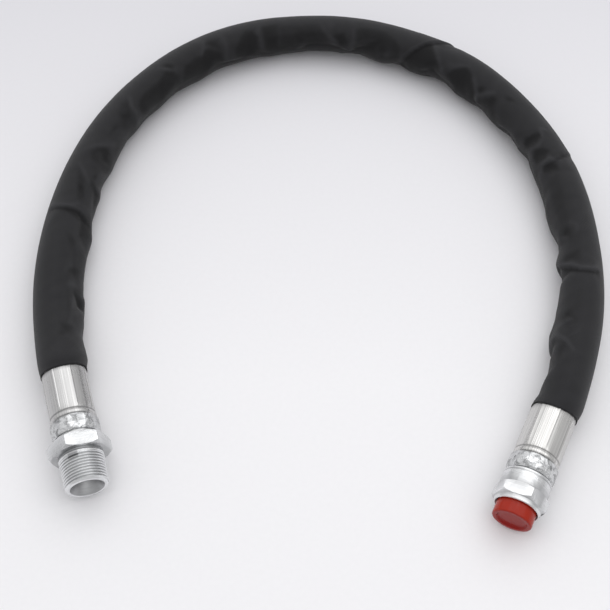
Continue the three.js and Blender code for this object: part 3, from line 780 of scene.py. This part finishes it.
def ferrule_bm(turn):
    """A crimped ferrule whose die faces are turned by so many degrees."""
    profile = [
        (15.9, 33.2), (16.05, 20), (15.9, 6), (16.1, -6.8), (16.3, -7.9), (16.5, -8), (16.75, -7.6),
        (16.85, -6.8), (16.86, -5.8), (16.86, -0.5), (17.0, 0.2), (17.15, 34.6), (17.1, 35.2), (16.75, 35.7),
        (16.45, 36.1), (16.5, 36.5), (16.95, 36.8), (17.2, 37.2), (17.3, 37.9), (17.32, 38.5), (17.25, 39.2),
        (16.95, 39.8), (16.5, 40.15), (12.9, 40.2), (12.75, 40.0), (12.75, 33.6), (12.9, 33.4),
    ]
    half = 180 / DIES
    fine = []
    for (r0, u0), (r1, u1) in zip(profile, profile[1:] + profile[:1]):
        steps = max(1, int(math.hypot(r1 - r0, u1 - u0) / 2.5))
        fine += [(r0 + (r1 - r0) * k / steps, u0 + (u1 - u0) * k / steps) for k in range(steps)]
    fine.append(fine[0])
    r_of, u_of = np.array(fine).T

    def place(t, a):
        i = np.rint(t * (len(fine) - 1)).astype(int)
        r, u, angle = r_of[i], u_of[i], 360 * a
        off = (angle - turn + half) % (2 * half) - half
        face = BARE_R / np.cos(np.radians(off)) ** 0.5
        ridge = 0.2 * np.exp(-((half - np.abs(off)) / 0.9) ** 2)
        beside = 0.1 * np.exp(-((half - 2.9 - np.abs(off)) / 1.1) ** 2)
        uneven = 0.035 * np.cos(np.radians(3 * angle) + u * 0.21) + 0.02 * np.cos(np.radians(11 * angle) + 2)
        crimped = np.clip((u + 0.3) / 0.6, 0, 1) * np.clip((CRIMP_END - u) / 1.2, 0, 1) * (r > BARE_R)
        r = r + crimped * (face + ridge - beside + uneven - r)
        return about_axis(r, np.radians(angle), u)

    bm = wrapped_grid(len(fine) - 1, FERRULE_SIDES, place)
    lathe_uv(bm)
    # Painted shade in the groove behind the lip and on the back end.
    mark_dull_shade(bm, (35.5, 36.4, 15, 18, 0.45), (-9, 0.4, 16, 18, 0.3))
    return bm


# Marks round or along a turned piece: fine lines whose strength varies, from its own UV.
def make_lathe_marks():
    group, given, out = new_group(
        "lathe_marks",
        [("Around", "NodeSocketFloat"), ("Along", "NodeSocketFloat")],
        [("Lines", "NodeSocketFloat"), ("Patches", "NodeSocketFloat")],
    )
    uv = add_node(group, "ShaderNodeUVMap", uv_map="wrap").outputs["UV"]
    scale = add_node(group, "ShaderNodeCombineXYZ")
    feed(group, scale, X=given.outputs["Around"], Y=given.outputs["Along"])
    lines_at = add_node(group, "ShaderNodeVectorMath", operation="MULTIPLY")
    feed(group, lines_at, i0=uv, i1=scale.outputs[0])
    lines = add_node(group, "ShaderNodeTexNoise")
    feed(group, lines, Vector=lines_at.outputs[0], Scale=1.0, Detail=4.0, Roughness=0.7)
    patches = add_node(group, "ShaderNodeTexNoise")
    place = add_node(group, "ShaderNodeTexCoord").outputs["Object"]
    feed(group, patches, Vector=place, Scale=190.0, Detail=3.0, Roughness=0.6, Distortion=0.6)
    feed(group, out, Lines=lines.outputs["Fac"], Patches=patches.outputs["Fac"])
    return group


lathe_marks = make_lathe_marks()


def spread(tree, value, low, high):
    """0 at low and 1 at high."""
    node = add_node(tree, "ShaderNodeMapRange")
    return feed(tree, node, Value=value, **{"From Min": low, "From Max": high}).outputs[0]


def steel_material(name, dark, light, rough, around, along, groove, mottle=0.0):
    """Bright zinc-plated steel with its working marks round or along it, duller and painted darker for shade
    where it is marked so, and with painted shade in the forged collar's dents.
    """
    material, shader = new_material(name, light, rough, 1.0)
    tree = material.node_tree
    marks = use_group(material, lathe_marks, Around=around, Along=along)
    grain = use_group(material, uneven_grain, Broad_Scale=45.0, Fine_Scale=2600.0)
    lines, patches = marks.outputs["Lines"], marks.outputs["Patches"]
    tone = blend_color(tree, spread(tree, lines, 0.36, 0.64), (*dark, 1), (*light, 1))
    cloudy = math_node(tree, "MULTIPLY", patches, 0.3)
    plated = blend_color(tree, cloudy, tone, (*(0.5 * (d + l) for d, l in zip(dark, light)), 1))
    dull_shade, forged = marked(tree, "dull_shade"), marked(tree, "forged")
    # Painted shade in the dents of the forged collar.
    dent_shade = math_node(tree, "MULTIPLY", spread(tree, patches, 0.48, 0.62), forged)
    plated = blend_color(tree, dent_shade, plated, (*(0.55 * d for d in dark), 1))
    # Painted shade where a piece is marked, which is also dulled below.
    with_painted_shade = blend_color(tree, dull_shade, plated, (0.1, 0.1, 0.105, 1))
    dull = math_node(tree, "MULTIPLY_ADD", grain.outputs["Broad"], 0.16, rough - 0.06)
    dull = math_node(tree, "MULTIPLY_ADD", dull_shade, 0.25, dull)
    normal = bump(tree, lines, groove, 0.00012, bump(tree, grain.outputs["Fine"], 0.08, 0.00005))
    if mottle:
        deeper = math_node(tree, "MULTIPLY_ADD", forged, 0.7, mottle)
        normal = bump(tree, patches, deeper, 0.0014, normal)
    feed(tree, shader, **{"Base Color": with_painted_shade, "Roughness": dull, "Normal": normal})
    return material


# The two ferrules are one part in one plating. This copy is painted darker for the shade on the male end.
shaded_ferrule_steel = steel_material(
    "shaded_crimped_zinc_steel", (0.4, 0.398, 0.397), (0.64, 0.636, 0.628), 0.25, 90.0, 0.4, 0.4,
)
finish_piece(
    "male_crimped_ferrule", ferrule_bm(90), shaded_ferrule_steel,
    "hose", ["male_ferrule"], male_place, 30,
)
# This copy is painted paler for the light on the swivel end.
lit_ferrule_steel = steel_material(
    "lit_crimped_zinc_steel", (0.42, 0.415, 0.405), (0.8, 0.792, 0.775), 0.25, 90.0, 0.4, 0.4,
)
swivel_ferrule = finish_piece(
    "swivel_crimped_ferrule", ferrule_bm(104), lit_ferrule_steel,
    "hose", ["swivel_ferrule"], swivel_place, 30,
)

# ---- male insert --------------------------------------------------------------------------------------
# One piece turned from hexagon bar, bright zinc plated: barbed tail, locking groove, a collar left with
# traces of the bar's flats, the spanner hexagon, and the one inch taper pipe thread with its inner seat.
LATHE_STEPS = 144
TAIL_OUT = 9.2
FLUID_BORE = 7.4
COLLAR = (40.5, 53.5)
MALE_FLATS, MALE_COLLAR_FLATS = 41.0, 34.6
MALE_HEX = (57.4, 68.2)
MALE_TURN = -12.5
# The thread: where its rows begin and end, where its taper starts, and how much of radius it loses a
# millimetre. It has so many rows a pitch.
THREAD_FROM, THREAD_TO, THREAD_END = 68.0, 92.6, 93.8
TAPER_FROM = 69.8
TAPER = 1 / 32
THREAD_PITCH = 2.209
THREAD_MAJOR = 16.95
THREAD_DEPTH = 1.3
THREAD_ROWS, THREAD_SIDES = 14, 120


def spun(profile):
    """Turns a closed profile of (radius, u) about the fitting's axis."""
    bm = bmesh.new()
    verts = [bm.verts.new((r, 0, u)) for r, u in profile]
    edges = [bm.edges.new(pair) for pair in zip(verts, verts[1:] + verts[:1])]
    edges = [e for e in edges if any(v.co.x > 1e-6 for v in e.verts)]
    bmesh.ops.spin(
        bm, geom=verts + edges, cent=(0, 0, 0), axis=(0, 0, 1), angle=2 * math.pi, steps=LATHE_STEPS,
        use_merge=True, use_duplicate=False,
    )
    bmesh.ops.remove_doubles(bm, verts=bm.verts, dist=1e-4)
    loose = [e for e in bm.edges if not e.link_faces]
    bmesh.ops.delete(bm, geom=loose, context="EDGES")
    bmesh.ops.recalc_face_normals(bm, faces=bm.faces)
    return bm


def flatten_to_hexagon(bm, u0, u1, flats, turn):
    """Cuts six flats on what lies between u0 and u1, and closes each cut with one plane face."""
    for k in range(6):
        a = math.radians(90 + turn + 60 * k)
        normal = Vector((math.cos(a), math.sin(a), 0))
        faces = [f for f in bm.faces if u0 - 1e-3 <= f.calc_center_median().z <= u1 + 1e-3]
        verts = dict.fromkeys(v for f in faces for v in f.verts)
        edges = dict.fromkeys(e for f in faces for e in f.edges)
        bmesh.ops.bisect_plane(
            bm, geom=[*verts, *edges, *faces], dist=1e-4, plane_co=normal * flats / 2, plane_no=normal,
            clear_outer=True, clear_inner=False,
        )
        rim = [e for e in bm.edges if e.is_boundary]
        bmesh.ops.edgeloop_fill(bm, edges=rim)
    bmesh.ops.recalc_face_normals(bm, faces=bm.faces)


def ease_edges(bm, u0, u1, width, least=math.radians(18)):
    """A small radius on the sharp edges between u0 and u1."""
    held = [e for e in bm.edges if e.is_manifold and all(u0 <= v.co.z <= u1 for v in e.verts)]
    bmesh.ops.bevel(
        bm, geom=[e for e in held if e.calc_face_angle(0) > least], offset=width, segments=2, profile=0.5,
        affect="EDGES", clamp_overlap=True, material=-1,
    )


def mark_forged(bm):
    """The collar keeps the dents of the bar that it was forged and cropped from."""
    layer = bm.verts.layers.float.new("forged")
    for v in bm.verts:
        v[layer] = 1.0 if COLLAR[0] - 0.1 < v.co.z < COLLAR[1] + 0.1 else 0.0


def tail_profile():
    """The barbs that the inner tube is pressed on, and the groove that the ferrule's end wall locks in."""
    profile = [(FLUID_BORE, -2.0), (8.3, -2.0)]
    for k in range(6):
        profile += [(8.7, 0.5 + 5.2 * k), (TAIL_OUT, 5.0 + 5.2 * k)]
    profile += [(8.7, 33.4), (12.0, 33.7), (12.35, 34.1), (12.35, 35.3), (11.2, 35.5), (11.2, 38.0)]
    return profile + [(12.35, 38.2)]


def collar_profile(end_radius):
    return [
        (12.35, 40.5), (16.9, 40.5), (17.35, 40.8), (18.2, 42.0), (18.3, 42.5), (18.3, 50.6), (18.1, 51.2),
        (17.0, 53.2), (16.7, 53.5), (end_radius, 53.5),
    ]


def male_body():
    profile = [
        *tail_profile(), *collar_profile(15.9), (15.6, 54.1), (15.5, 55.4), (15.9, 56.9), (16.4, 57.4),
        (21.2, 57.4), (21.7, 57.6), (23.58, 59.0), (23.58, 66.4), (21.4, 67.95), (20.9, 68.2), (15.4, 68.2),
        (15.2, 68.9), (12.2, 70.0), (FLUID_BORE, 70.2),
    ]
    bm = spun(profile)
    flatten_to_hexagon(bm, *COLLAR, MALE_COLLAR_FLATS, MALE_TURN)
    flatten_to_hexagon(bm, *MALE_HEX, MALE_FLATS, MALE_TURN)
    ease_edges(bm, 57.3, 68.3, 0.28)
    ease_edges(bm, 40.6, 53.4, 0.2)
    lathe_uv(bm)
    # Painted shade at the neck before the thread, between the collar and the hexagon, and behind the collar.
    mark_dull_shade(bm, (67.7, 70.3, 12, 21.5, 0.25), (53.3, 57.5, 15, 17, 0.3), (40.2, 41.4, 15, 18, 0.3))
    mark_forged(bm)
    return bm


def taper_radius(u):
    return THREAD_MAJOR - np.maximum(u - TAPER_FROM, 0) * TAPER


def thread_bm():
    """The taper thread as one right-hand helical groove, with the rim, the seat and the bore behind it."""
    cut = -1.0
    rows = []
    u = THREAD_FROM
    while u < THREAD_TO:
        rows.append((cut, u))
        u += THREAD_PITCH / THREAD_ROWS
    small = taper_radius(THREAD_END)
    rows += [
        (small - 0.95, 93.2), (small - 1.25, 93.6), (small - 1.55, THREAD_END), (13.05, THREAD_END),
        (12.75, 93.72), (12.55, 93.5), (FLUID_BORE + 0.2, 84.7), (FLUID_BORE, 84.2), (FLUID_BORE, 78.0),
        (FLUID_BORE, 69.8), (12.3, 69.7), (15.0, 68.6), (15.3, 68.1),
    ]
    rows.append(rows[0])
    radius, height = np.array(rows).T

    def place(t, a):
        i = np.rint(t * (len(rows) - 1)).astype(int)
        u, r = height[i], radius[i]
        phase = (u / THREAD_PITCH - a) % 1.0
        crest = 1 - np.abs(2 * phase - 1) * 1.25
        crest = np.clip(crest, 0, 0.86) / 0.86
        crest = crest * crest * (3 - 2 * crest) * 0.35 + crest * 0.65
        begin = np.clip((u - 70.4 - 0.6 * a) / 2.4, 0, 1)
        root = THREAD_DEPTH * (1 - crest) * begin
        neck = 1.35 * np.clip((70.2 - u) / 1.3, 0, 1)
        mouth = np.maximum(0, (u - 92.1) / 0.9)
        major = taper_radius(u)
        r = np.where(r == cut, np.minimum(major - root - neck, major - mouth), r)
        return about_axis(r, 2 * np.pi * a, u)

    bm = wrapped_grid(len(rows) - 1, THREAD_SIDES, place)
    lathe_uv(bm)
    # Painted shade in the bore, on the seat and at the neck, and deepening into the thread's roots; a patch
    # on the first threads is darker still.
    mark_dull_shade(bm, (69.5, 93.4, 6, 12.4, 0.55), (84.0, 93.6, 6, 12.7, 0.55), (67, 70.6, 14, 17, 0.3))
    layer = bm.verts.layers.float["dull_shade"]
    for v in bm.verts:
        r, u = math.hypot(v.co.x, v.co.y), v.co.z
        if 70.6 < u < 92.4 and r > 14:
            root = (taper_radius(u) - r) / THREAD_DEPTH
            v[layer] = 0.5 * min(1.0, max(0.0, root - 0.2) / 0.6)
            if u < 75.2 and -8 < v.co.x < -0.5 and v.co.y > 6:
                v[layer] += 0.4
    return bm


zinc = steel_material(
    "bright_zinc_steel", (0.56, 0.57, 0.575), (0.74, 0.745, 0.75), 0.2, 5.0, 260.0, 0.22, 0.3,
)
finish_piece(
    "male_insert_body", male_body(), zinc, "hose", ["male_insert"], male_place, 30,
)
# The thread is part of the male insert; this paler copy of its zinc paints light on the thread.
lit_thread_zinc = steel_material(
    "lit_copy_zinc_thread", (0.66, 0.67, 0.68), (0.88, 0.885, 0.89), 0.24, 5.0, 260.0, 0.2,
)
finish_piece(
    "male_taper_thread", thread_bm(), lit_thread_zinc, "hose", [], male_place, 50,
)

# ---- swivel insert ------------------------------------------------------------------------------------
# The same barbed tail, locking groove and collar, turned down in front to the stem that the nut turns
# on, with the groove for the retaining wire and a coned nose that seals on the mating seat.
STEM_R = 12.4
WIRE_AT = 59.3
SWIVEL_COLLAR_FLATS = 35.2


def swivel_body():
    profile = [
        *tail_profile(), *collar_profile(STEM_R), (STEM_R, 57.9), (11.0, 58.0), (11.0, 60.6), (STEM_R, 60.7),
        (STEM_R, 65.4), (12.2, 65.7), (10.3, 69.2), (9.9, 69.5), (FLUID_BORE, 69.5),
    ]
    bm = spun(profile)
    flatten_to_hexagon(bm, *COLLAR, SWIVEL_COLLAR_FLATS, 0.0)
    ease_edges(bm, 40.6, 53.4, 0.2)
    lathe_uv(bm)
    # Painted shade on the stem between the collar and the nut, and behind the collar.
    mark_dull_shade(bm, (53.2, 58.5, 11, 17, 0.5), (40.2, 41.4, 15, 18, 0.3))
    mark_forged(bm)
    return bm


swivel_insert = finish_piece(
    "swivel_insert_body", swivel_body(), zinc,
    "hose", ["swivel_insert"], swivel_place, 30,
)

# ---- swivel nut ---------------------------------------------------------------------------------------
# Turned from hexagon bar: a round skirt over the retaining wire, the spanner hexagon, a turned front,
# and inside it the straight pipe thread that the plug keeps clean.
NUT_TURN = 13.0
NUT_FLATS = 36.0
NUT_BACK, NUT_FRONT = 54.1, 79.9
NUT_BORE, NUT_ROOT = 15.15, 16.05
# The thread inside is shown as separate grooves, from the front of the nut back to its end.
GROOVES_FROM, GROOVES_TO = 78.9, 64.4


def nut_bm():
    profile = [
        (12.8, 54.4), (13.1, NUT_BACK), (17.0, NUT_BACK), (17.5, 54.3), (17.85, 54.9), (17.9, 55.4),
        (17.75, 56.2), (17.7, 56.6), (17.95, 57.4), (18.0, 58.2), (18.0, 66.0), (18.15, 66.5), (18.5, 66.55),
        (20.78, 68.1), (20.78, 74.4), (18.0, 76.15), (17.7, 76.5), (17.6, 77.1), (17.35, 78.8), (17.25, 79.3),
        (16.9, 79.75), (16.5, NUT_FRONT), (16.1, NUT_FRONT), (15.3, 78.95),
    ]
    u = GROOVES_FROM
    while u > GROOVES_TO:
        profile += [(NUT_BORE, u), (NUT_ROOT, u - THREAD_PITCH * 0.42), (NUT_ROOT, u - THREAD_PITCH * 0.52)]
        u -= THREAD_PITCH * 0.94
    profile += [(NUT_BORE, 63.6), (12.8, 62.2), (12.8, 60.7), (13.8, 60.6), (13.8, 58.0), (12.8, 57.9)]
    bm = spun(profile)
    flatten_to_hexagon(bm, 66.4, 76.3, NUT_FLATS, NUT_TURN)
    ease_edges(bm, 66.45, 76.3, 0.25)
    lathe_uv(bm)
    # Painted shade in the skirt's groove, at the back and front edges of the hexagon, and inside the nut.
    mark_dull_shade(
        bm, (55.9, 56.9, 17, 18, 0.45), (65.9, 66.6, 17, 19, 0.35), (76.0, 77.3, 17, 18.3, 0.3),
        (54, 79, 12, 16.2, 0.6),
    )
    layer = bm.verts.layers.float["dull_shade"]
    # A painted shadow on the front of the hexagon at one lower corner, where it meets the floor.
    for v in bm.verts:
        if v.co.z > 73 and v.co.y < 2 and v.co.x > 12 and math.hypot(v.co.x, v.co.y) > 17:
            v[layer] = 0.9
    return bm


nut_zinc = steel_material(
    "nut_zinc_steel", (0.64, 0.65, 0.655), (0.84, 0.845, 0.85), 0.24, 5.0, 260.0, 0.22, 0.3,
)
swivel_nut = finish_piece(
    "swivel_nut_body", nut_bm(), nut_zinc, "nut", ["swivel_nut"], swivel_place, 30,
)

# ---- retaining wire -----------------------------------------------------------------------------------
# A ring of round spring wire with a gap, sprung into the grooves of the stem and the nut. It turns in
# them and holds the nut on.
WIRE_R = 1.05
WIRE_GAP = math.radians(24)


def wire_bm():
    def place(t, a):
        angle = math.pi / 2 + WIRE_GAP / 2 + (2 * math.pi - WIRE_GAP) * t
        turn = 2 * math.pi * a
        return about_axis(STEM_R + WIRE_R * np.cos(turn), angle, WIRE_AT + WIRE_R * np.sin(turn))

    bm = wrapped_grid(96, 16, place)
    bm.verts.layers.float.new("dull_shade")
    bmesh.ops.holes_fill(bm, edges=[e for e in bm.edges if e.is_boundary], sides=0)
    bmesh.ops.recalc_face_normals(bm, faces=bm.faces)
    return bm


spring_steel = steel_material("spring_steel", (0.4, 0.4, 0.41), (0.62, 0.62, 0.63), 0.3, 4.0, 90.0, 0.2)
retaining_wire = finish_piece(
    "retaining_wire_ring", wire_bm(), spring_steel,
    "hose", ["nut_retaining_wire"], swivel_place, 40,
)

# ---- protective plug ----------------------------------------------------------------------------------
# A moulded red plastic cap, pushed into the nut's thread by hand: hollow inside, with a shallow dish in
# its outer face.
PLUG_R = 14.85


def plug_bm():
    profile = [
        (13.15, 69.9), (14.0, 69.9), (14.3, 70.1), (PLUG_R, 71.6), (PLUG_R, 88.6), (PLUG_R - 0.12, 89.1),
        (PLUG_R - 0.4, 89.5), (PLUG_R - 0.8, 89.7), (12.0, 89.7), (11.6, 89.6), (11.2, 89.2), (10.7, 88.4),
        (10.2, 88.1), (9.4, 88.05), (5.0, 88.0), (0, 88.0), (0, 84.9), (12.2, 84.9), (12.8, 84.6),
        (13.15, 83.8),
    ]
    bm = spun(profile)
    lathe_uv(bm)
    # Painted shade over the outer face and its dish.
    mark_dull_shade(bm, (87.9, 89.75, -1, 14.2, 1.0))
    return bm


def plug_material():
    material, shader = new_material("red_moulded_plastic", (0.37, 0.013, 0.008), 0.3)
    tree = material.node_tree
    grain = use_group(material, uneven_grain, Broad_Scale=70.0, Fine_Scale=1500.0)
    tone = blend_color(tree, grain.outputs["Broad"], (0.27, 0.013, 0.006, 1), (0.37, 0.028, 0.012, 1))
    dull = math_node(tree, "MULTIPLY_ADD", grain.outputs["Broad"], 0.1, 0.12)
    # The outer face is painted a darker red for its shade.
    red = blend_color(tree, marked(tree, "dull_shade"), tone, (0.255, 0.008, 0.005, 1))
    normal = bump(tree, grain.outputs["Fine"], 0.1, 0.0001)
    feed(tree, shader, **{"Base Color": red, "Roughness": dull, "Normal": normal, "Specular IOR Level": 0.2})
    return material


plug = finish_piece(
    "push_in_plug", plug_bm(), plug_material(), "plug", ["protective_plug"], swivel_place, 30,
)

# ---- camera -------------------------------------------------------------------------------------------
# It stands in front of the open ends and looks down at the arch. Its place, its pitch and its focal length,
# in pixels of a picture 610 wide, were fitted to the rims of both ferrules.
CAMERA_AT = (-0.00111, -0.35152, 0.7968)
CAMERA_PITCH, CAMERA_ROLL = 58.797, -0.02
FOCAL, PICTURE = 1150.0, 610.0
camera_data = bpy.data.cameras.new("camera")
camera_data.sensor_width = 36.0
camera_data.lens = FOCAL * camera_data.sensor_width / PICTURE
camera_data.clip_start = 0.01
camera_data.clip_end = 100.0
camera = put_in_scene("camera", camera_data)
tilt = Matrix.Rotation(math.radians(90 - CAMERA_PITCH), 4, "X")
roll = Matrix.Rotation(math.radians(CAMERA_ROLL), 4, "Z")
camera.matrix_world = Matrix.Translation(CAMERA_AT) @ tilt @ roll
scene.camera = camera

# ---- floor and light ----------------------------------------------------------------------------------
# A pale matt floor, a little darker towards the back. A broad soft lamp hangs above it, to the right and
# behind, and a narrow one further off gives the fittings a thin highlight.
scene.view_settings.view_transform = "Standard"


def floor_material():
    material, shader = new_material("pale_floor", (0.85, 0.85, 0.865), 0.75)
    tree = material.node_tree
    place = add_node(tree, "ShaderNodeTexCoord").outputs["Object"]
    noise = feed(tree, add_node(tree, "ShaderNodeTexNoise"), Vector=place, Scale=260.0, Detail=3.0)
    far = feed(tree, add_node(tree, "ShaderNodeSeparateXYZ"), Vector=place).outputs["Y"]
    sheet = blend_color(tree, spread(tree, far, 0.06, 0.5), (0.845, 0.84, 0.855, 1), (0.68, 0.675, 0.705, 1))
    cloudy = math_node(tree, "MULTIPLY", noise.outputs["Fac"], 0.12)
    tone = blend_color(tree, cloudy, sheet, (0.6, 0.6, 0.62, 1))
    feed(tree, shader, **{"Base Color": tone, "Specular IOR Level": 0.1})
    return material


floor_bm = bmesh.new()
bmesh.ops.create_grid(floor_bm, x_segments=1, y_segments=1, size=20)
floor_mesh = bpy.data.meshes.new("floor")
floor_bm.to_mesh(floor_mesh)
floor_bm.free()
floor_mesh.materials.append(floor_material())
obj = put_in_scene("floor", floor_mesh)

LAMPS_AIM = Vector((0.0, 0.1, 0.0))


def area_lamp(name, at, width, depth, power):
    data = bpy.data.lights.new(name, "AREA")
    data.shape = "RECTANGLE"
    data.size, data.size_y, data.energy = width, depth, power
    aim = (Vector(at) - LAMPS_AIM).to_track_quat("Z", "Y").to_matrix().to_4x4()
    put_in_scene(name, data).matrix_world = Matrix.Translation(at) @ aim


area_lamp("soft_light_above", (0.42, 0.3, 1.6), 2.8, 2.1, 11.6)
area_lamp("narrow_light_above", (0.72, 0.8, 1.7), 0.26, 0.9, 0.7)

# The room: brightest high up behind the part, darker low down on the viewer's side.
BRIGHTEST = (-0.2, 0.42, 0.88)
ROOM_LEVELS = ((0.0, 0.58), (0.3, 0.67), (0.65, 0.87), (1.0, 1.06))
world = bpy.data.worlds.new("studio")
scene.world = world
world.use_nodes = True
tree = world.node_tree
background = next(n for n in tree.nodes if n.type == "BACKGROUND")
direction = add_node(tree, "ShaderNodeTexCoord").outputs["Generated"]
facing = add_node(tree, "ShaderNodeVectorMath", operation="DOT_PRODUCT")
feed(tree, facing, i0=direction, i1=BRIGHTEST)
ramp = feed(tree, add_node(tree, "ShaderNodeValToRGB"), Fac=facing.outputs["Value"])
stops = ramp.color_ramp.elements
for position, level in ROOM_LEVELS:
    stop = stops.new(position) if 0 < position < 1 else stops[0 if position == 0 else -1]
    stop.color = (level, level, level * 1.01, 1)
tree.links.new(ramp.outputs["Color"], background.inputs["Color"])
background.inputs["Strength"].default_value = 1.0
